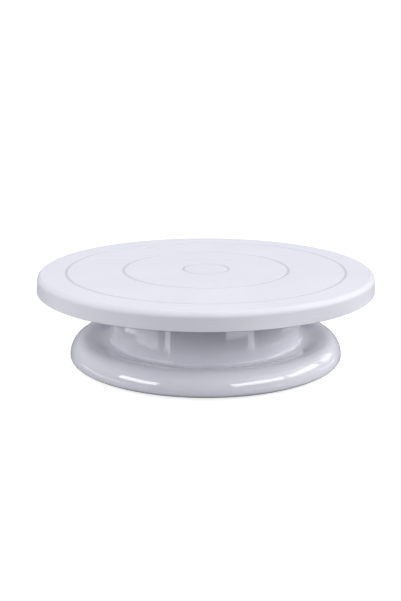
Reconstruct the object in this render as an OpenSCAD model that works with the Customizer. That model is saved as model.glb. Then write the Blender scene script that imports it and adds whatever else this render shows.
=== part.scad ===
// Cake decorating turntable: a round plate that turns on a caged ball race
// in a one-piece foot with a pedestal drum.
// Millimetres, +Z up. The origin is on the surface it stands on, below the
// plate's spin axis.

/* [Plate] */
// Diameter of the plate
plate_d = 280; // [270:1:300]
// Height of the plate's rim, top surface to lower edge
rim_h = 14.6; // [13:0.1:18]
// Width of the rounding along the plate's top edge
edge_w = 3.6; // [3:0.2:4.4]
// Height of the rounding along the plate's top edge
edge_h = 5; // [4:0.2:6]
// How much smaller in radius the rim is at its top than at its lower edge
rim_draft = 0.7; // [0:0.1:1.5]
// Thickness of the plate's flat top
plate_web = 3; // [2.6:0.1:3.4]
// Thickness of the rim's wall
rim_wall = 2.6; // [2:0.1:3.2]
// Diameter of the inner guide ring in the plate's top
guide_inner_d = 38; // [30:1:60]
// Diameter of the middle guide ring
guide_middle_d = 137; // [120:1:160]
// Diameter of the outer guide ring
guide_outer_d = 231; // [210:1:240]
// Depth of each guide ring
guide_depth = 0.45; // [0.3:0.05:0.6]
// Width of each guide ring
guide_w = 3.4; // [2.4:0.2:4]
// Number of stiffening ribs under the plate
plate_ribs = 12; // [6:2:24]

/* [Base] */
// Height of the plate's top above the surface it stands on
total_h = 75; // [74.5:0.1:76]
// Largest diameter of the foot
foot_d = 228.4; // [224:0.2:240]
// Diameter across the crown of the foot's roll
crown_d = 202.8; // [200:0.2:206]
// Height of the crown above the table
crown_h = 20; // [19.8:0.1:20.4]
// Height of the foot's widest line above the table
widest_h = 4.6; // [4.2:0.1:5]
// Diameter of the pedestal drum where it meets the foot
drum_d = 159.4; // [158.5:0.1:160]
// Diameter of the pedestal drum at its top
drum_top_d = 156.4; // [155.5:0.1:157]
// Height of the drum's top edge
drum_top_h = 70; // [68:0.5:70.5]
// Radius of the fillet between drum and foot
drum_fillet = 2.2; // [1.8:0.1:3]
// Thickness of the moulded shell
shell = 2.6; // [2.4:0.1:2.7]
// Number of stiffening ribs under the deck
deck_ribs = 6; // [4:1:8]
// Number of rubber pads under the foot
pad_count = 6; // [3:1:8]
// Diameter of each rubber pad
pad_d = 11; // [9:0.5:12]

/* [Bearing] */
// Diameter of a bearing ball
ball_d = 6.35; // [6:0.05:6.35]
// Number of balls
ball_count = 12; // [8:1:16]
// Pitch diameter of the ring of balls
ball_pitch_d = 90; // [88:0.5:92]
// Radial width of the races and the cage
race_w = 14; // [13:0.5:14.5]
// Thickness of the cage
cage_t = 4; // [3.6:0.1:4.2]

/* [Pivot] */
// Diameter of the plate's central journal
journal_d = 24; // [22:0.5:25]
// Outside diameter of the hub bush
bush_d = 28; // [27.5:0.1:28.5]
// Radial running clearance between journal and bush
journal_play = 0.05; // [0.03:0.01:0.08]
// Thread diameter of the pivot screw
screw_d = 5; // [4:0.5:5]
// Length of the screw's shank
screw_l = 16; // [14:1:18]

/* [Hidden] */
$fn = 96;
joint_overlap = 0.4;    // how far fused features run into each other
through = 1;            // how far a cutter runs past the face that it cuts

// Plate
plate_r = plate_d / 2;
rim_top_r = plate_r - rim_draft;
rim_low = total_h - rim_h;
web_low = total_h - plate_web;
rim_edge = 0.6;         // bevel along the rim's lower edge
edge_lean = 60;         // part of a quarter turn that the top edge's rounding takes
rim_fillet = 3;         // rounding inside, between the web and the rim
plate_rib_h = 3.4;
plate_rib_t = 1.8;
lip_r = 83;             // dust lip that hangs round the top of the drum
lip_t = 2;
lip_low = web_low - 6;
stiff_ring_r = 110;     // ring rib between the dust lip and the rim

// Ball race, stacked up from the balls' centres
ball_r = ball_d / 2;
pitch_r = ball_pitch_d / 2;
ball_z = 63;
ball_gap = 0.08;        // free play between a ball and its groove
groove_r = 3.6;         // cross-section radius of a race's groove
groove_depth = 0.8;
race_t = 2;
race_face = ball_r + ball_gap - groove_depth;   // from ball centre to a race's face
upper_race_z = ball_z + race_face;
lower_race_z = ball_z - race_face - race_t;
pocket_play = 0.2;

// Base
foot_r = foot_d / 2;
crown_r = crown_d / 2;
roll_w = foot_r - crown_r;
roll_h = crown_h - widest_h;
rim_gap = 1.2;          // the pads hold the foot's rim clear of the table
rim_tuck = 5;           // how far the foot's lower edge tucks in
tuck_h = widest_h - rim_gap;
rim_inner_r = foot_r - 5.8;
dip_h = 15.7;           // height of the foot where the drum's fillet starts
drum_r = drum_d / 2;
drum_top_r = drum_top_d / 2;
drum_edge = 0.8;        // bevel along the drum's top edge
dip_r = drum_r + drum_fillet;
deck_top = lower_race_z + 1;
deck_t = 2.8;
deck_low = deck_top - deck_t;
hub_r = bush_d / 2 + 2.4;
hub_low = 34.4;
rib_t = 2.2;
pad_ring_r = 100;
pad_t = 3;
pad_boss_r = pad_d / 2 + 2;
pad_boss_low = 1.4;
pad_boss_top = crown_h - shell + 0.3;
gusset_low = 7;

// Pivot
journal_r = journal_d / 2;
journal_bore_r = journal_r - 3;
journal_low = hub_low - 0.4;
insert_r = 3.5;
insert_l = 10;
insert_set = 0.3;       // the insert sits this far inside the journal's end
insert_boss_r = insert_r + 1.9;
insert_boss_h = 17;
bush_bore_r = journal_r + journal_play;
bush_flange_r = 18;
bush_flange_t = 1.5;
washer_r = 17;
washer_t = 1.5;
washer_low = journal_low - washer_t;
spring_t = 1.4;
spring_r = 4.6;
screw_r = screw_d / 2;
screw_play = 0.03;
head_r = 4.75;
head_h = 3.6;
head_top = washer_low - spring_t;

// Colours
white_plastic = [0.93, 0.93, 0.96];
steel = [0.72, 0.73, 0.75];
brass = [0.80, 0.66, 0.36];
nylon = [0.90, 0.88, 0.80];
acetal = [0.95, 0.95, 0.93];
rubber = [0.30, 0.30, 0.31];

function numbered(stem, i) = str(stem, i < 10 ? "0" : "", i);

function reversed(list) = [for (i = [len(list) - 1 : -1 : 0]) list[i]];

// Points along part of an ellipse, counter-clockwise from angle a to angle b.
function arc(centre, rx, ry, a, b, steps = 8) =
    [for (i = [0 : steps])
        let (t = a + (b - a) * i / steps)
        [centre.x + rx * cos(t), centre.y + ry * sin(t)]];

// Points that fall from height z0 at radius r0 to z1 at r1, level at both ends.
function dip(r0, z0, r1, z1, steps = 6) =
    [for (i = [1 : steps - 1])
        let (u = i / steps)
        [r0 + (r1 - r0) * u, z1 + (z0 - z1) * (1 + cos(180 * u)) / 2]];

module ring(outer_r, inner_r, low, high) {
    translate([0, 0, low])
        difference() {
            cylinder(r = outer_r, h = high - low);
            translate([0, 0, -through])
                cylinder(r = inner_r, h = high - low + 2 * through);
        }
}

module round_about(count, first = 0) {
    for (i = [0 : count - 1])
        rotate([0, 0, first + 360 * i / count])
            children();
}

// One rib along +X between two radii, its underside at low_in and low_out.
module radial_rib(r_in, r_out, low_in, low_out, high, thick) {
    rotate([90, 0, 0])
        translate([0, 0, -thick / 2])
            linear_extrude(height = thick)
                polygon([[r_in, low_in], [r_out, low_out], [r_out, high], [r_in, high]]);
}

// ---- Plate ----

// Half section of the plate: flat top, rounded edge and hanging rim.
module plate_section() {
    edge_rx = edge_w / (1 - cos(edge_lean));
    edge_ry = edge_h / sin(edge_lean);
    inner_r = rim_top_r - rim_wall;
    polygon(concat(
        [[0, web_low], [0, total_h]],
        arc([rim_top_r - edge_rx, total_h - edge_h], edge_rx, edge_ry, edge_lean, 0),
        [[plate_r, rim_low + rim_edge], [plate_r - rim_edge, rim_low]],
        [[plate_r - rim_wall, rim_low]],
        arc([inner_r - rim_fillet, web_low - rim_fillet], rim_fillet, rim_fillet, 0, 90, 5)
    ));
}

// Cutter for one shallow round-bottomed guide ring in the plate's top.
module guide_ring(d) {
    cut_r = (guide_w * guide_w / 4 + guide_depth * guide_depth) / (2 * guide_depth);
    translate([0, 0, total_h + cut_r - guide_depth])
        rotate_extrude()
            translate([d / 2, 0])
                circle(r = cut_r, $fn = 48);
}

module journal() {
    difference() {
        union() {
            ring(journal_r, journal_bore_r, journal_low, web_low + joint_overlap);
            translate([0, 0, journal_low])
                cylinder(r = insert_boss_r, h = insert_boss_h);
            for (a = [0, 90])
                rotate([0, 0, a])
                    translate([-journal_bore_r - joint_overlap, -rib_t / 2, journal_low])
                        cube([2 * (journal_bore_r + joint_overlap), rib_t, insert_boss_h]);
        }
        translate([0, 0, journal_low - through])
            cylinder(r = insert_r, h = insert_l + insert_set + through);
        translate([0, 0, journal_low])
            cylinder(r = screw_r + 0.4, h = insert_boss_h - 1.5);
    }
}

module top_plate() {
    color(white_plastic) {
        difference() {
            union() {
                rotate_extrude()
                    plate_section();
                // seat and locating lip of the upper race
                ring(pitch_r + race_w / 2 + 2, pitch_r - race_w / 2 - 2,
                     upper_race_z + 1, web_low + joint_overlap);
                ring(lip_r, lip_r - lip_t, lip_low, web_low + joint_overlap);
                ring(stiff_ring_r + plate_rib_t / 2, stiff_ring_r - plate_rib_t / 2,
                     web_low - plate_rib_h, web_low + joint_overlap);
                round_about(plate_ribs, 15)
                    radial_rib(lip_r - joint_overlap, rim_top_r - rim_wall,
                               web_low - plate_rib_h, web_low - plate_rib_h,
                               web_low + joint_overlap, plate_rib_t);
                round_about(plate_ribs / 2, 15)
                    radial_rib(journal_r - joint_overlap,
                               pitch_r - race_w / 2 - 2 + joint_overlap,
                               web_low - 2 * plate_rib_h, web_low - plate_rib_h,
                               web_low + joint_overlap, plate_rib_t);
            }
            ring(pitch_r + race_w / 2, pitch_r - race_w / 2,
                 upper_race_z - through, upper_race_z + race_t);
            guide_ring(guide_inner_d);
            guide_ring(guide_middle_d);
            guide_ring(guide_outer_d);
        }
        journal();
    }
}

// ---- Ball race ----

// Steel ring with a round groove; the groove is in the face that faces the balls.
module race(low, groove_z) {
    difference() {
        ring(pitch_r + race_w / 2, pitch_r - race_w / 2, low, low + race_t);
        translate([0, 0, groove_z])
            rotate_extrude()
                translate([pitch_r, 0])
                    circle(r = groove_r, $fn = 64);
    }
}

module upper_race() {
    color(steel)
        race(upper_race_z, ball_z + ball_r + ball_gap - groove_r);
}

module lower_race() {
    color(steel)
        race(lower_race_z, ball_z - ball_r - ball_gap + groove_r);
}

module ball_cage() {
    color(nylon)
        difference() {
            ring(pitch_r + race_w / 2, pitch_r - race_w / 2,
                 ball_z - cage_t / 2, ball_z + cage_t / 2);
            round_about(ball_count)
                translate([pitch_r, 0, ball_z])
                    sphere(r = ball_r + pocket_play, $fn = 48);
            // shallow lightening slots between the pockets
            round_about(ball_count, 180 / ball_count)
                translate([pitch_r, 0, ball_z + cage_t / 2 - 1])
                    cylinder(r = 2.2, h = 1 + through, $fn = 32);
        }
}

module bearing_ball(i) {
    color(steel)
        rotate([0, 0, 360 * (i - 1) / ball_count])
            translate([pitch_r, 0, ball_z])
                sphere(r = ball_r, $fn = 48);
}

// ---- Pivot ----

module hub_bush() {
    color(acetal)
        difference() {
            union() {
                translate([0, 0, hub_low])
                    cylinder(r = bush_d / 2, h = deck_top - hub_low);
                translate([0, 0, deck_top])
                    cylinder(r = bush_flange_r, h = bush_flange_t);
            }
            translate([0, 0, hub_low - through])
                cylinder(r = bush_bore_r, h = deck_top + bush_flange_t - hub_low + 2 * through);
        }
}

module threaded_insert() {
    low = journal_low + insert_set;
    waist_h = 1.2;
    color(brass)
        difference() {
            translate([0, 0, low])
                cylinder(r = insert_r, h = insert_l);
            ring(insert_r + through, insert_r - 0.5,
                 low + (insert_l - waist_h) / 2, low + (insert_l + waist_h) / 2);
            translate([0, 0, low - through])
                cylinder(r = screw_r + screw_play, h = insert_l + 2 * through);
        }
}

module retaining_washer() {
    color(steel)
        ring(washer_r, screw_r + 0.2, washer_low, journal_low);
}

module spring_washer() {
    color(steel)
        difference() {
            ring(spring_r, screw_r + 0.15, head_top, washer_low);
            translate([0, -0.4, head_top - through])
                cube([spring_r + through, 0.8, spring_t + 2 * through]);
        }
}

module pivot_screw() {
    recess_d = 5;
    recess_w = 1;
    recess_h = 1.9;
    dome_r = 9;
    color(steel) {
        translate([0, 0, head_top - joint_overlap])
            cylinder(r = screw_r, h = screw_l + joint_overlap);
        difference() {
            intersection() {
                translate([0, 0, head_top - head_h])
                    cylinder(r = head_r, h = head_h);
                translate([0, 0, head_top - head_h + dome_r])
                    sphere(r = dome_r);
            }
            for (a = [45, 135])
                rotate([0, 0, a])
                    translate([-recess_d / 2, -recess_w / 2, head_top - head_h - through])
                        cube([recess_d, recess_w, recess_h + through]);
        }
    }
}

// ---- Base ----

// Line from the foot's roll up to the drum's fillet, t inside the outer
// surface. It starts at angle a on the roll.
function foot_line(t, a = 0) = concat(
    arc([crown_r, widest_h], roll_w - t, roll_h - t, a, 90, 11),
    dip(crown_r, crown_h - t, dip_r, dip_h - t)
);

function fillet_line(t) =
    arc([dip_r, dip_h + drum_fillet], drum_fillet + t, drum_fillet + t, 270, 180, 6);

// Angle on the roll, t inside the outer surface, at radius r.
function roll_angle(t, r) = acos((r - crown_r) / (roll_w - t));

// Half section of the moulded shell: rolled foot, fillet and pedestal drum.
module shell_section() {
    polygon(concat(
        arc([foot_r - rim_tuck, widest_h], rim_tuck, tuck_h, -90, -22.5, 3),
        foot_line(0),
        fillet_line(0),
        [[drum_top_r, drum_top_h - drum_edge], [drum_top_r - drum_edge, drum_top_h]],
        [[drum_top_r - shell, drum_top_h]],
        reversed(fillet_line(shell)),
        reversed(foot_line(shell, roll_angle(shell, rim_inner_r))),
        [[rim_inner_r, rim_gap]]
    ));
}

// Upright gusset between the drum and the foot's rim. Its top runs inside the
// shell's wall.
module gusset() {
    mid = shell / 2;
    out_r = rim_inner_r + 1;
    rotate([90, 0, 0])
        translate([0, 0, -rib_t / 2])
            linear_extrude(height = rib_t)
                polygon(concat(
                    [[dip_r - 4, gusset_low], [out_r, gusset_low]],
                    foot_line(mid, roll_angle(mid, out_r)),
                    [[dip_r, dip_h - mid], [dip_r - 4, dip_h]]
                ));
}

// Trims what stiffens the drum at the middle of its wall.
module inside_drum() {
    wall_low = dip_h + drum_fillet;
    intersection() {
        translate([0, 0, wall_low])
            cylinder(r1 = drum_r - shell / 2, r2 = drum_top_r - shell / 2,
                     h = drum_top_h - drum_edge - wall_low);
        union()
            children();
    }
}

// Place of pad number i, counted from 1.
module at_pad(i) {
    rotate([0, 0, 360 * (i - 1) / pad_count])
        translate([pad_ring_r, 0, 0])
            children();
}

module base() {
    color(white_plastic)
        difference() {
            union() {
                rotate_extrude()
                    shell_section();
                inside_drum() {
                    ring(drum_r, bush_d / 2, deck_low, deck_top);
                    round_about(deck_ribs, 30)
                        radial_rib(hub_r - joint_overlap, drum_r, hub_low + 2,
                                   deck_low - 9, deck_low + joint_overlap, rib_t);
                }
                ring(hub_r, bush_d / 2, hub_low, deck_top);
                for (i = [1 : pad_count])
                    at_pad(i)
                        translate([0, 0, pad_boss_low])
                            cylinder(r = pad_boss_r, h = pad_boss_top - pad_boss_low);
                round_about(pad_count, 180 / pad_count)
                    gusset();
            }
            // seat of the lower race
            ring(pitch_r + race_w / 2, pitch_r - race_w / 2,
                 lower_race_z, deck_top + through);
            for (i = [1 : pad_count])
                at_pad(i)
                    translate([0, 0, pad_boss_low - through])
                        cylinder(r = pad_d / 2, h = pad_t - pad_boss_low + through);
        }
}

module foot_pad(i) {
    color(rubber)
        at_pad(i)
            cylinder(r = pad_d / 2, h = pad_t);
}

top_plate();
threaded_insert();
upper_race();
ball_cage();
for (i = [1 : ball_count])
    bearing_ball(i);
lower_race();
hub_bush();
base();
for (i = [1 : pad_count])
    foot_pad(i);
retaining_washer();
spring_washer();
pivot_screw();
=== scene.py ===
import math

import bmesh
import bpy
from mathutils import Matrix, Vector


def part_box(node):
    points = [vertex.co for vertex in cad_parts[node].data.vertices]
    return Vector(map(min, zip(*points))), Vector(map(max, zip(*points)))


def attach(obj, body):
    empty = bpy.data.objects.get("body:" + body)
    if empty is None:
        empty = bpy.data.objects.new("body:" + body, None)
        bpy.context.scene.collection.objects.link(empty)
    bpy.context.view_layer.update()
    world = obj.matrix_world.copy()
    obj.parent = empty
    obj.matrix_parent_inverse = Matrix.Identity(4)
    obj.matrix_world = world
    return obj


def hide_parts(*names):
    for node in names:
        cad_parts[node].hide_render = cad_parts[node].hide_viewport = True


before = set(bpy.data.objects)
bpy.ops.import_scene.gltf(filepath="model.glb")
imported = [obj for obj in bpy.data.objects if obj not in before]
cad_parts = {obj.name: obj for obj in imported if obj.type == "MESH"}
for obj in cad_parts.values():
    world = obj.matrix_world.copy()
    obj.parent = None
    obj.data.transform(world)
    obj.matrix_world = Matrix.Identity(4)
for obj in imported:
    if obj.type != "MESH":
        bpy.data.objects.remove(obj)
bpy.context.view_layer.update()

scene = bpy.context.scene
scene.view_settings.view_transform = "Standard"

MM = 0.001
SEGMENTS = 288          # steps round a turned piece
SHARP = 35              # degrees between faces that stay a crisp edge

# ---- Sizes, from the frame ----

plate_low, plate_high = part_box("top_plate")
base_low, base_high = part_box("base")
PLATE_R = min(plate_high.x, plate_high.y) / MM
PLATE_TOP = plate_high.z / MM
JOURNAL_LOW = plate_low.z / MM
FOOT_R = min(base_high.x, base_high.y) / MM
FOOT_LOW = base_low.z / MM
DRUM_TOP = base_high.z / MM
bush_low, bush_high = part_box("hub_bush")
race_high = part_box("upper_race")[1]
lower_race_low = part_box("lower_race")[0]
RACE_OUT = race_high.x / MM
RACE_W = 14
RACE_SEAT = 1           # how deep each race is let in


# ---- Outlines ----

def fillet(corners, steps=6):
    """Points (r, z) of an outline whose corners (r, z, radius) are rounded."""
    points = []
    n = len(corners)
    for i, (r, z, radius) in enumerate(corners):
        here = Vector((r, z))
        before = Vector(corners[i - 1][:2]) - here
        after = Vector(corners[(i + 1) % n][:2]) - here
        if radius <= 0 or before.length == 0 or after.length == 0:
            points.append((r, z))
            continue
        half = before.angle(after) / 2
        if half > math.radians(89):
            points.append((r, z))
            continue
        run = radius / math.tan(half)
        centre = here + (before.normalized() + after.normalized()).normalized() * (radius / math.sin(half))
        start = here + before.normalized() * run - centre
        sweep = math.radians(180) - 2 * half
        turn = 1 if before.x * after.y - before.y * after.x < 0 else -1
        for k in range(steps + 1):
            a = turn * sweep * k / steps
            c, s = math.cos(a), math.sin(a)
            points.append((centre.x + start.x * c - start.y * s, centre.y + start.x * s + start.y * c))
    return points


def arc(cx, cz, rx, rz, start, end, steps):
    """Points (r, z) along part of an ellipse, angles in degrees."""
    angles = [math.radians(start + (end - start) * k / steps) for k in range(steps + 1)]
    return [(cx + rx * math.cos(a), cz + rz * math.sin(a)) for a in angles]


# ---- Mesh helpers ----

def new_piece(name, mesh, material):
    """Turns a bmesh into a scene object with this material."""
    data = bpy.data.meshes.new(name)
    mesh.to_mesh(data)
    mesh.free()
    data.materials.append(material)
    piece = bpy.data.objects.new(name, data)
    scene.collection.objects.link(piece)
    return piece


def add_part(mesh, part, angle):
    """Adds a bmesh part to a mesh, turned to an angle in degrees round the Z axis."""
    turn = Matrix.Rotation(math.radians(angle), 3, "Z")
    bmesh.ops.rotate(part, verts=part.verts, cent=(0, 0, 0), matrix=turn)
    holder = bpy.data.meshes.new("part")
    part.to_mesh(holder)
    part.free()
    mesh.from_mesh(holder)
    bpy.data.meshes.remove(holder)


def turn_outline(mesh, outline, segments=SEGMENTS):
    """Adds the solid made by turning a closed outline (r, z), in millimetres, round the Z axis."""
    rings = []
    for r, z in outline:
        if r < 1e-6:
            rings.append([mesh.verts.new((0, 0, z * MM))])
            continue
        rings.append([
            mesh.verts.new((r * MM * math.cos(math.tau * k / segments),
                            r * MM * math.sin(math.tau * k / segments), z * MM))
            for k in range(segments)
        ])
    for one, two in zip(rings, rings[1:] + rings[:1]):
        if len(one) == 1 and len(two) == 1:
            continue
        for k in range(segments):
            j = (k + 1) % segments
            corners = [one[k % len(one)], one[j % len(one)], two[j % len(two)], two[k % len(two)]]
            mesh.faces.new(list(dict.fromkeys(corners)))


def turn_sheet(mesh, outline, segments):
    """Adds the sheet made by turning a line of points (r, z), in metres, with its faces up and inwards."""
    rings = []
    for r, z in outline:
        count = 1 if r == 0 else segments
        rings.append([
            mesh.verts.new((r * math.cos(math.tau * k / segments), r * math.sin(math.tau * k / segments), z))
            for k in range(count)
        ])
    for one, two in zip(rings, rings[1:]):
        for k in range(segments):
            j = (k + 1) % segments
            corners = [one[k % len(one)], two[k], two[j], one[j % len(one)]]
            mesh.faces.new(list(dict.fromkeys(corners)))


def add_slab(mesh, outline, thick, angle, bevel=0.35):
    """Adds an upright slab with this outline (r, z), turned to an angle in degrees, edges rounded."""
    part = bmesh.new()
    faces = []
    for side in (-0.5, 0.5):
        verts = [part.verts.new((r * MM, side * thick * MM, z * MM)) for r, z in outline]
        faces.append(part.faces.new(verts))
    one, two = list(faces[0].verts), list(faces[1].verts)
    for k in range(len(one)):
        j = (k + 1) % len(one)
        part.faces.new([one[k], one[j], two[j], two[k]])
    bmesh.ops.recalc_face_normals(part, faces=part.faces)
    if bevel:
        bmesh.ops.bevel(part, geom=list(part.edges), offset=bevel * MM, segments=2, affect="EDGES",
                        profile=0.5, clamp_overlap=True)
    add_part(mesh, part, angle)


def finished(name, mesh, material, body, node):
    """Turns a bmesh into a smooth-shaded piece that rides on a body and replaces its node."""
    bmesh.ops.recalc_face_normals(mesh, faces=mesh.faces)
    piece = new_piece(name, mesh, material)
    piece.data.shade_smooth()
    piece.data.set_sharp_from_angle(angle=math.radians(SHARP))
    weighted = piece.modifiers.new("weighted", "WEIGHTED_NORMAL")
    weighted.keep_sharp = True
    weighted.weight = 80
    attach(piece, body)
    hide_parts(node)
    return piece


# ---- Materials ----

def shader(name):
    """A new material with its node tree and its Principled shader."""
    material = bpy.data.materials.new(name)
    material.use_nodes = True
    tree = material.node_tree
    return material, tree, tree.nodes["Principled BSDF"]


def texture_coords(tree, kind="Object"):
    """Texture coordinates of this kind, in the object's own frame unless another kind is asked for."""
    return tree.nodes.new("ShaderNodeTexCoord").outputs[kind]


def maths(tree, operation, first, second=0):
    """A Math node's result; the second term is a number or a socket."""
    node = tree.nodes.new("ShaderNodeMath")
    node.operation = operation
    tree.links.new(first, node.inputs[0])
    if isinstance(second, bpy.types.NodeSocket):
        tree.links.new(second, node.inputs[1])
    else:
        node.inputs[1].default_value = second
    return node.outputs["Value"]


def noise(tree, coords, scale, detail=2.0, roughness=0.5, stretch=None):
    """A noise pattern with scale features a metre; stretch squeezes it along the axes."""
    if stretch:
        mapping = tree.nodes.new("ShaderNodeMapping")
        mapping.inputs["Scale"].default_value = stretch
        tree.links.new(coords, mapping.inputs["Vector"])
        coords = mapping.outputs["Vector"]
    node = tree.nodes.new("ShaderNodeTexNoise")
    node.inputs["Scale"].default_value = scale
    node.inputs["Detail"].default_value = detail
    node.inputs["Roughness"].default_value = roughness
    tree.links.new(coords, node.inputs["Vector"])
    return node.outputs["Fac"]


def between(tree, factor, low, high, start=0.3, end=0.7):
    """Numbers from low to high as the factor goes from start to end."""
    node = tree.nodes.new("ShaderNodeMapRange")
    node.inputs["From Min"].default_value = start
    node.inputs["From Max"].default_value = end
    node.inputs["To Min"].default_value = low
    node.inputs["To Max"].default_value = high
    tree.links.new(factor, node.inputs["Value"])
    return node.outputs["Result"]


def tones(tree, factor, dark, light, start=0.3, end=0.7):
    """Colours from dark to light as the factor goes from start to end."""
    ramp = tree.nodes.new("ShaderNodeValToRGB")
    ramp.color_ramp.elements[0].position = start
    ramp.color_ramp.elements[1].position = end
    ramp.color_ramp.elements[0].color = (*dark, 1)
    ramp.color_ramp.elements[1].color = (*light, 1)
    tree.links.new(factor, ramp.inputs["Fac"])
    return ramp.outputs["Color"]


def relief(tree, height, distance, below=None):
    """A bump of this height in metres, on top of another bump."""
    bump = tree.nodes.new("ShaderNodeBump")
    bump.inputs["Strength"].default_value = 1.0
    bump.inputs["Distance"].default_value = distance
    tree.links.new(height, bump.inputs["Height"])
    if below:
        tree.links.new(below, bump.inputs["Normal"])
    return bump.outputs["Normal"]


def moulded(name, dark, light, rough_low, rough_high, waviness, grain):
    """Moulded plastic: faint tone shifts, uneven gloss, mould waviness and a fine surface grain."""
    material, tree, surface = shader(name)
    coords = texture_coords(tree)
    cloud = noise(tree, coords, 18, 3)
    tree.links.new(tones(tree, cloud, dark, light), surface.inputs["Base Color"])
    smear = noise(tree, coords, 55, 4, 0.6)
    tree.links.new(between(tree, smear, rough_low, rough_high), surface.inputs["Roughness"])
    normal = relief(tree, noise(tree, coords, 34, 1), waviness)
    normal = relief(tree, noise(tree, coords, 110, 2), waviness / 9, normal)
    normal = relief(tree, noise(tree, coords, 2400, 2), grain, normal)
    tree.links.new(normal, surface.inputs["Normal"])
    surface.inputs["IOR"].default_value = 1.5
    return material


def paint_groove_shade(material, radii, reach, shade_colour):
    """Darkens a material's colour near these radii round the Z axis, in metres: painted shade that deepens
    the grooves.
    """
    tree = material.node_tree
    colour = tree.nodes["Principled BSDF"].inputs["Base Color"]
    plain = colour.links[0].from_socket
    flat = tree.nodes.new("ShaderNodeVectorMath")
    flat.operation = "MULTIPLY"
    flat.inputs[1].default_value = (1, 1, 0)
    tree.links.new(texture_coords(tree), flat.inputs[0])
    length = tree.nodes.new("ShaderNodeVectorMath")
    length.operation = "LENGTH"
    tree.links.new(flat.outputs["Vector"], length.inputs[0])
    gaps = [maths(tree, "ABSOLUTE", maths(tree, "SUBTRACT", length.outputs["Value"], r)) for r in radii]
    nearest = gaps[0]
    for gap in gaps[1:]:
        nearest = maths(tree, "MINIMUM", nearest, gap)
    # painted shade: near the rings the plain colour is multiplied by a darker colour
    mix = tree.nodes.new("ShaderNodeMix")
    mix.data_type = "RGBA"
    mix.blend_type = "MULTIPLY"
    tree.links.new(between(tree, nearest, 1, 0, 0, reach), mix.inputs["Factor"])
    plain_in, shade_in = [socket for socket in mix.inputs if socket.type == "RGBA"]
    tree.links.new(plain, plain_in)
    shade_in.default_value = (*shade_colour, 1)
    blended = next(socket for socket in mix.outputs if socket.type == "RGBA")
    tree.links.new(blended, colour)


def metal(name, dark, light, rough_low, rough_high, stretch, grain):
    """Metal with fine tool marks; stretch sets which way they run."""
    material, tree, surface = shader(name)
    coords = texture_coords(tree)
    marks = noise(tree, coords, 900, 3, 0.6, stretch)
    tree.links.new(tones(tree, marks, dark, light), surface.inputs["Base Color"])
    smear = noise(tree, coords, 160, 3)
    tree.links.new(between(tree, smear, rough_low, rough_high), surface.inputs["Roughness"])
    tree.links.new(relief(tree, marks, grain), surface.inputs["Normal"])
    surface.inputs["Metallic"].default_value = 1.0
    return material


def rubber():
    """Matt grey rubber with a mottled tone and a fine grain."""
    material, tree, surface = shader("pad_rubber")
    coords = texture_coords(tree)
    mottle = noise(tree, coords, 700, 3)
    tree.links.new(tones(tree, mottle, (0.17, 0.17, 0.18), (0.23, 0.23, 0.24)), surface.inputs["Base Color"])
    tree.links.new(between(tree, mottle, 0.62, 0.82), surface.inputs["Roughness"])
    tree.links.new(relief(tree, noise(tree, coords, 1800, 2), 0.00003), surface.inputs["Normal"])
    surface.inputs["Specular IOR Level"].default_value = 0.35
    return material


plate_plastic = moulded("plate_plastic", (0.79, 0.79, 0.845), (0.82, 0.82, 0.87), 0.32, 0.42,
                        0.00003, 0.000006)
base_plastic = moulded("base_plastic", (0.78, 0.78, 0.84), (0.81, 0.81, 0.865), 0.04, 0.08, 0.00008, 0.000001)
nylon = moulded("nylon", (0.72, 0.70, 0.62), (0.77, 0.75, 0.67), 0.42, 0.55, 0.00002, 0.000010)
acetal = moulded("acetal", (0.80, 0.80, 0.78), (0.85, 0.85, 0.83), 0.28, 0.38, 0.00001, 0.000004)
turned_steel = metal("turned_steel", (0.52, 0.53, 0.55), (0.66, 0.67, 0.69), 0.22, 0.36, (1, 1, 6), 0.000006)
ball_steel = metal("ball_steel", (0.72, 0.73, 0.75), (0.78, 0.79, 0.81), 0.05, 0.12, (1, 1, 1), 0.0000005)
brass = metal("brass", (0.70, 0.50, 0.20), (0.80, 0.62, 0.30), 0.22, 0.38, (1, 1, 5), 0.000010)
pad_rubber = rubber()


# ---- Plate ----

RIM_LOW = PLATE_TOP - 14.6
RIM_T = 2.6
WEB_LOW = PLATE_TOP - 3
RIM_TOP_R = PLATE_R - 0.7
EDGE_W = 3.6
EDGE_H = 5
EDGE_LEAN = 60
GUIDE_RINGS = (19, 68.5, 115.5)
GUIDE_W = 3.4
GUIDE_DEPTH = 0.45
RIB_H = 3.4
RIB_T = 1.8
RACE_RING_LOW = race_high.z / MM - RACE_SEAT
RACE_RING_T = 2
LIP_R = 83
LIP_T = 2
LIP_H = 6
STIFF_R = 110
JOURNAL_R = 12
JOURNAL_T = 3
BOSS_R = 5.4
BOSS_TOP = JOURNAL_LOW + 17
INSERT_R = 3.5
INSERT_H = 10.3
PILOT_R = 2.9


def guide_groove(r):
    """Outline of one shallow round-bottomed guide ring."""
    cut_r = (GUIDE_W ** 2 / 4 + GUIDE_DEPTH ** 2) / (2 * GUIDE_DEPTH)
    half = math.degrees(math.asin(GUIDE_W / 2 / cut_r))
    return arc(r, PLATE_TOP + cut_r - GUIDE_DEPTH, cut_r, cut_r, 270 - half, 270 + half, 10)


def top_edge():
    """Outline of the rounding from the flat top down to the rim."""
    rx = EDGE_W / (1 - math.cos(math.radians(EDGE_LEAN)))
    ry = EDGE_H / math.sin(math.radians(EDGE_LEAN))
    return arc(RIM_TOP_R - rx, PLATE_TOP - EDGE_H, rx, ry, EDGE_LEAN, 0, 14)


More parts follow.
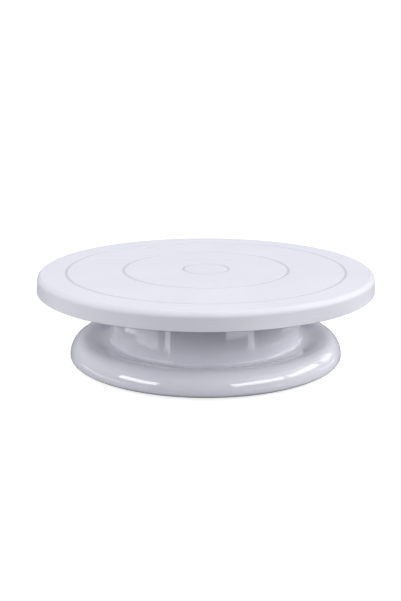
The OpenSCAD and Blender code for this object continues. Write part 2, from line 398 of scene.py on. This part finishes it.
def build_top_plate():
    top = [(0, PLATE_TOP)]
    for r in GUIDE_RINGS:
        top += guide_groove(r)
    top += top_edge()
    ring_out, ring_in = RACE_OUT + RACE_RING_T, RACE_OUT - RACE_W - RACE_RING_T
    seat_in, seat_high = RACE_OUT - RACE_W, RACE_RING_LOW + RACE_SEAT
    under = [
        (PLATE_R, RIM_LOW, 0.7), (PLATE_R - RIM_T, RIM_LOW, 0.5), (RIM_TOP_R - RIM_T, WEB_LOW, 3),
        (STIFF_R + RIB_T / 2, WEB_LOW, 0.6), (STIFF_R + 0.7, WEB_LOW - RIB_H, 0.3),
        (STIFF_R - 0.7, WEB_LOW - RIB_H, 0.3), (STIFF_R - RIB_T / 2, WEB_LOW, 0.6),
        (LIP_R, WEB_LOW, 0.6), (LIP_R - 0.1, WEB_LOW - LIP_H, 0.4),
        (LIP_R - LIP_T + 0.1, WEB_LOW - LIP_H, 0.4), (LIP_R - LIP_T, WEB_LOW, 0.6),
        (ring_out, WEB_LOW, 0.8), (ring_out, RACE_RING_LOW, 0.5), (RACE_OUT, RACE_RING_LOW, 0.2),
        (RACE_OUT, seat_high, 0), (seat_in, seat_high, 0),
        (seat_in, RACE_RING_LOW, 0.2), (ring_in, RACE_RING_LOW, 0.5), (ring_in, WEB_LOW, 0.8),
        (JOURNAL_R, WEB_LOW, 0.8), (JOURNAL_R, JOURNAL_LOW, 0.5),
        (JOURNAL_R - JOURNAL_T, JOURNAL_LOW, 0.4), (JOURNAL_R - JOURNAL_T, WEB_LOW, 1), (0, WEB_LOW, 0),
    ]
    mesh = bmesh.new()
    turn_outline(mesh, fillet([(r, z, 0) for r, z in top] + under))
    insert_top = JOURNAL_LOW + INSERT_H
    boss = [
        (INSERT_R, JOURNAL_LOW, 0.3), (BOSS_R, JOURNAL_LOW, 0.4), (BOSS_R, BOSS_TOP, 0.6), (0, BOSS_TOP, 0),
        (0, BOSS_TOP - 1.5, 0), (PILOT_R, BOSS_TOP - 1.5, 0), (PILOT_R, insert_top, 0),
        (INSERT_R, insert_top, 0),
    ]
    turn_outline(mesh, fillet(boss), 64)
    web_in, web_out = BOSS_R - 0.4, JOURNAL_R - JOURNAL_T + 0.6
    web = [(web_in, JOURNAL_LOW), (web_out, JOURNAL_LOW), (web_out, BOSS_TOP), (web_in, BOSS_TOP)]
    for k in range(4):
        add_slab(mesh, web, 2.2, 90 * k, 0.25)
    sunk = WEB_LOW + 0.5
    outer = [(LIP_R - 0.5, WEB_LOW - RIB_H), (RIM_TOP_R - 2, WEB_LOW - RIB_H), (RIM_TOP_R - 2, sunk),
             (LIP_R - 0.5, sunk)]
    for k in range(12):
        add_slab(mesh, outer, RIB_T, 15 + 30 * k)
    inner = [(JOURNAL_R - 0.5, WEB_LOW - 2 * RIB_H), (ring_in + 0.5, WEB_LOW - RIB_H), (ring_in + 0.5, sunk),
             (JOURNAL_R - 0.5, sunk)]
    for k in range(6):
        add_slab(mesh, inner, RIB_T, 15 + 60 * k)
    # painted shade: the plate's colour is darkened near each guide ring so that the grooves look deeper
    paint_groove_shade(plate_plastic, [r * MM for r in GUIDE_RINGS], GUIDE_W / 2 * MM, (0.72, 0.72, 0.75))
    return finished("top_plate_shell", mesh, plate_plastic, "platter", "top_plate")


# ---- Base ----

CROWN_R = 101.4
CROWN_H = 20
WIDEST_H = 4.6
RIM_TUCK = 5
DRUM_R = 79.7
DRUM_TOP_R = 78.2
DRUM_FILLET = 2.2
DIP_R = DRUM_R + DRUM_FILLET
DIP_H = 15.7
SHELL = 2.6
RIM_INNER_R = FOOT_R - 5.8
DECK_TOP = lower_race_low.z / MM + RACE_SEAT
DECK_LOW = DECK_TOP - 2.8
BUSH_R = bush_high.x / MM - 4       # the bush's body, inside its flange
HUB_R = BUSH_R + 2.4
HUB_LOW = bush_low.z / MM
BASE_RIB_T = 2.2
GUSSET_LOW = 7
PAD_RING_R = 100
PAD_R = 5.5
PAD_TOP = 3
SOCKET_LOW = 1.4
SOCKET_T = 2


def drum_inner_r(z):
    """Radius of the drum's inside at height z."""
    low = DIP_H + DRUM_FILLET
    return DRUM_R - SHELL - (DRUM_R - DRUM_TOP_R) * (z - low) / (DRUM_TOP - low)


def foot_line(inset, start=0):
    """The foot's roll and its dip towards the drum, this far inside the outer surface."""
    line = arc(CROWN_R, WIDEST_H, FOOT_R - CROWN_R - inset, CROWN_H - WIDEST_H - inset, start, 90, 28)
    for k in range(1, 14):
        u = k / 14
        fall = (1 + math.cos(math.pi * u)) / 2
        line.append((CROWN_R + (DIP_R - CROWN_R) * u, DIP_H - inset + (CROWN_H - DIP_H) * fall))
    return line


def roll_angle(inset, r):
    """The angle in degrees at which that line of the roll reaches radius r."""
    return math.degrees(math.acos((r - CROWN_R) / (FOOT_R - CROWN_R - inset)))


def turned_at(mesh, outline, x, angle, segments=48):
    """Adds a turned solid whose axis is upright at distance x from the middle."""
    part = bmesh.new()
    turn_outline(part, outline, segments)
    bmesh.ops.translate(part, verts=part.verts, vec=(x * MM, 0, 0))
    add_part(mesh, part, angle)


def build_base():
    centre_z = DIP_H + DRUM_FILLET
    outside = arc(FOOT_R - RIM_TUCK, WIDEST_H, RIM_TUCK, WIDEST_H - FOOT_LOW, -90, -10, 9)
    outside += foot_line(0)
    outside += arc(DIP_R, centre_z, DRUM_FILLET, DRUM_FILLET, 270, 180, 12)
    inside = arc(DIP_R, centre_z, DRUM_FILLET + SHELL, DRUM_FILLET + SHELL, 180, 270, 12)
    inside += foot_line(SHELL, roll_angle(SHELL, RIM_INNER_R))[::-1]
    race_in = RACE_OUT - RACE_W
    drum = [
        (DRUM_TOP_R, DRUM_TOP, 0.8), (DRUM_TOP_R - SHELL, DRUM_TOP, 0.6),
        (drum_inner_r(DECK_TOP), DECK_TOP, 1),
        (RACE_OUT, DECK_TOP, 0.3), (RACE_OUT, DECK_TOP - RACE_SEAT, 0),
        (race_in, DECK_TOP - RACE_SEAT, 0), (race_in, DECK_TOP, 0.3),
        (BUSH_R, DECK_TOP, 0.2), (BUSH_R, HUB_LOW, 0.2), (HUB_R, HUB_LOW, 0.5),
        (HUB_R, DECK_LOW, 1.5), (drum_inner_r(DECK_LOW), DECK_LOW, 1.5),
    ]
    outline = [(r, z, 0) for r, z in outside] + drum
    outline += [(r, z, 0) for r, z in inside] + [(RIM_INNER_R, FOOT_LOW, 0.5)]
    mesh = bmesh.new()
    turn_outline(mesh, fillet(outline))
    rib_in, rib_out = HUB_R - 0.5, DRUM_R - 2.2
    sunk = DECK_LOW + 0.5
    rib = [(rib_in, HUB_LOW + 2), (rib_out, DECK_LOW - 9), (rib_out, sunk), (rib_in, sunk)]
    gusset_in, gusset_out = DIP_R - 4, RIM_INNER_R + 1
    gusset = [(gusset_in, GUSSET_LOW), (gusset_out, GUSSET_LOW)]
    gusset += foot_line(SHELL / 2, roll_angle(SHELL / 2, gusset_out))
    gusset += [(DIP_R, DIP_H - SHELL / 2), (gusset_in, DIP_H)]
    boss_r, boss_top = PAD_R + SOCKET_T, CROWN_H - SHELL + 0.3
    boss = fillet([
        (0, PAD_TOP, 0), (PAD_R, PAD_TOP, 0), (PAD_R, SOCKET_LOW, 0.2), (boss_r, SOCKET_LOW, 0.5),
        (boss_r, boss_top, 0), (0, boss_top, 0),
    ])
    for k in range(6):
        add_slab(mesh, rib, BASE_RIB_T, 30 + 60 * k, 0.4)
        add_slab(mesh, gusset, BASE_RIB_T, 30 + 60 * k, 0)
        turned_at(mesh, boss, PAD_RING_R, 60 * k)
    return finished("base_shell", mesh, base_plastic, "base", "base")


def build_pads():
    """Six rubber discs with a shallow dimple in the underside."""
    outline = fillet([
        (0, 0.35, 0), (1.6, 0.35, 0.2), (2.1, 0, 0.3),
        (PAD_R, 0, 0.6), (PAD_R, PAD_TOP, 0.2), (0, PAD_TOP, 0),
    ])
    for k in range(6):
        mesh = bmesh.new()
        turned_at(mesh, outline, PAD_RING_R, 60 * k)
        number = f"{k + 1:02d}"
        finished("rubber_pad_" + number, mesh, pad_rubber, "base", "foot_pad_" + number)


build_top_plate()
base_shell = build_base()
build_pads()


# ---- Inner pieces keep their CAD shape ----

def dress(node, material):
    """Gives a CAD node this material alone."""
    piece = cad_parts[node]
    piece.data.materials.clear()
    piece.data.materials.append(material)


for name in ("upper_race", "lower_race", "retaining_washer", "spring_washer", "pivot_screw"):
    dress(name, turned_steel)
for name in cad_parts:
    if name.startswith("ball_") and name != "ball_cage":
        dress(name, ball_steel)
dress("ball_cage", nylon)
dress("hub_bush", acetal)
dress("threaded_insert", brass)


# ---- Floor, light and camera ----

def camera_only(name, outline, segments, material):
    """A turned stage surface that the camera sees, but that lights, mirrors and shades nothing."""
    mesh = bmesh.new()
    turn_sheet(mesh, outline, segments)
    piece = new_piece(name, mesh, material)
    piece.data.shade_smooth()
    piece.visible_glossy = False
    piece.visible_diffuse = False
    piece.visible_shadow = False


def build_studio():
    """A pale floor that sweeps up into a wall all round, clear when it is seen from below or outside."""
    floor_r, sweep, wall_h = 6, 3, 12
    outline = [(0, -0.0003)] + arc(floor_r, sweep, sweep, sweep, -90, 0, 9) + [(floor_r + sweep, wall_h)]
    material, tree, surface = shader("studio_white")
    surface.inputs["Base Color"].default_value = (0.5, 0.5, 0.5, 1)
    surface.inputs["Roughness"].default_value = 0.9
    surface.inputs["Emission Color"].default_value = (1, 1, 1, 1)
    surface.inputs["Emission Strength"].default_value = 0.75
    clear = tree.nodes.new("ShaderNodeBsdfTransparent")
    mix = tree.nodes.new("ShaderNodeMixShader")
    tree.links.new(tree.nodes.new("ShaderNodeNewGeometry").outputs["Backfacing"], mix.inputs["Fac"])
    tree.links.new(surface.outputs["BSDF"], mix.inputs[1])
    tree.links.new(clear.outputs["BSDF"], mix.inputs[2])
    tree.links.new(mix.outputs["Shader"], tree.nodes["Material Output"].inputs["Surface"])
    camera_only("studio_sweep", outline, 96, material)


def softbox(name, azimuth, width, low, high, radiance, distance=4, brightens=True, mirrored=True):
    """A rectangular light round the object, its lower edge width wide, all in degrees.

    The azimuth runs from the front towards the right, and low and high are the elevations of its edges.
    """
    target = Vector((0, 0, 0.04))
    middle = math.radians((low + high) / 2)
    half_height = math.tan(math.radians((high - low) / 2))
    reach = math.cos(middle) + half_height * math.sin(middle)
    a = math.radians(azimuth)
    out = Vector((math.sin(a) * math.cos(middle), -math.cos(a) * math.cos(middle), math.sin(middle)))
    data = bpy.data.lights.new(name, "AREA")
    data.shape = "RECTANGLE"
    data.size = 2 * distance * reach * math.tan(math.radians(width / 2))
    data.size_y = 2 * distance * half_height
    data.energy = radiance * math.pi * data.size * data.size_y
    lamp = bpy.data.objects.new(name, data)
    lamp.location = target + out * distance
    lamp.rotation_mode = "QUATERNION"
    lamp.rotation_quaternion = out.to_track_quat("Z", "Y")
    lamp.visible_camera = False
    lamp.visible_diffuse = brightens
    lamp.visible_glossy = mirrored
    scene.collection.objects.link(lamp)
    return lamp


def lit_worktop(name, start, end, near, far, radiance):
    """A lit part of the worktop that is seen only in reflections, above all in the drum.

    It spans the directions from start to end, in degrees from the front towards the right, and runs from
    near to far millimetres out from the drum.
    """
    below = Vector((0, 0, 0.0005))
    mesh = bmesh.new()
    steps = max(2, round((end - start) / 4))
    rows = []
    for k in range(steps + 1):
        a = math.radians(start + (end - start) * k / steps)
        foot = Vector((math.sin(a / 2), -math.cos(a / 2), 0)) * DRUM_R
        out = Vector((math.sin(a), -math.cos(a), 0))
        rows.append([mesh.verts.new((foot + out * t) * MM - below) for t in (near, far)])
    for one, two in zip(rows, rows[1:]):
        mesh.faces.new([one[0], one[1], two[1], two[0]])
    material, tree, surface = shader(name)
    surface.inputs["Base Color"].default_value = (0, 0, 0, 1)
    surface.inputs["Emission Color"].default_value = (0.97, 0.97, 1.0, 1)
    surface.inputs["Emission Strength"].default_value = radiance
    piece = new_piece(name, mesh, material)
    piece.visible_camera = False
    piece.visible_diffuse = False
    piece.visible_shadow = False
    piece.visible_transmission = False


def build_world():
    """Soft light from everywhere, stronger from above than from below."""
    world = bpy.data.worlds.new("studio")
    scene.world = world
    world.use_nodes = True
    tree = world.node_tree
    background = tree.nodes["Background"]
    background.inputs["Color"].default_value = (0.92, 0.93, 1.0, 1)
    split = tree.nodes.new("ShaderNodeSeparateXYZ")
    tree.links.new(texture_coords(tree, "Generated"), split.inputs["Vector"])
    level = between(tree, split.outputs["Z"], 0.18, 0.58, -0.05, 0.25)
    tree.links.new(level, background.inputs["Strength"])


def build_lights():
    """Three boxes whose shine falls on the glossy base alone, softer lights, fills and the lit worktop."""
    glossy_pieces = bpy.data.collections.new("glossy_pieces")
    glossy_pieces.objects.link(base_shell)
    boxes = (
        ("left", -57, 34, 12, 26, 4.0, 9.0),
        ("right", 45, 44, 17, 31, 1.5, 8.0),
        ("side", 91, 36, 15, 29, 4.0, 6.0),
    )
    for name, azimuth, width, low, high, light, shine in boxes:
        softbox(name + "_box", azimuth, width, low, high, light, mirrored=False)
        lamp = softbox(name + "_shine", azimuth, width, low, high, shine, distance=3.5, brightens=False)
        lamp.light_linking.receiver_collection = glossy_pieces
    softbox("back_box", 125, 18, 8, 24, 2.0)
    softbox("left_high", -75, 60, 35, 65, 0.4)
    softbox("right_high", 75, 60, 35, 65, 1.5)
    softbox("front_high", 0, 60, 35, 65, 0.4)
    softbox("left_fill", -110, 60, 3, 30, 1.8, mirrored=False)
    softbox("right_fill", 100, 60, 3, 30, 1.8, mirrored=False)
    lit_worktop("worktop_left", -112, -90, 130, 320, 3.0)
    lit_worktop("worktop_near_left", -90, -57, 90, 320, 2.2)
    lit_worktop("worktop_strip_left", -48, -42, 90, 320, 4.0)
    lit_worktop("worktop_right", 24, 51, 155, 320, 4.0)
    lit_worktop("worktop_strip_right", 51, 59, 90, 320, 4.0)
    lit_worktop("worktop_far_right", 104, 127, 130, 320, 1.5)


def build_camera():
    """The viewpoint: a little above the plate, aimed a little left of the axis."""
    reach, rise, pitch, yaw = 0.79856, 12.575, 14.49, 0.318     # metres and degrees
    data = bpy.data.cameras.new("camera")
    data.lens = 57.28
    data.sensor_width = 36
    camera = bpy.data.objects.new("camera", data)
    up = math.radians(rise)
    camera.location = (0, -reach * math.cos(up), plate_high.z + reach * math.sin(up))
    camera.rotation_euler = (math.radians(90 - pitch), 0, math.radians(yaw))
    scene.collection.objects.link(camera)
    scene.camera = camera


build_studio()
build_world()
build_lights()
build_camera()
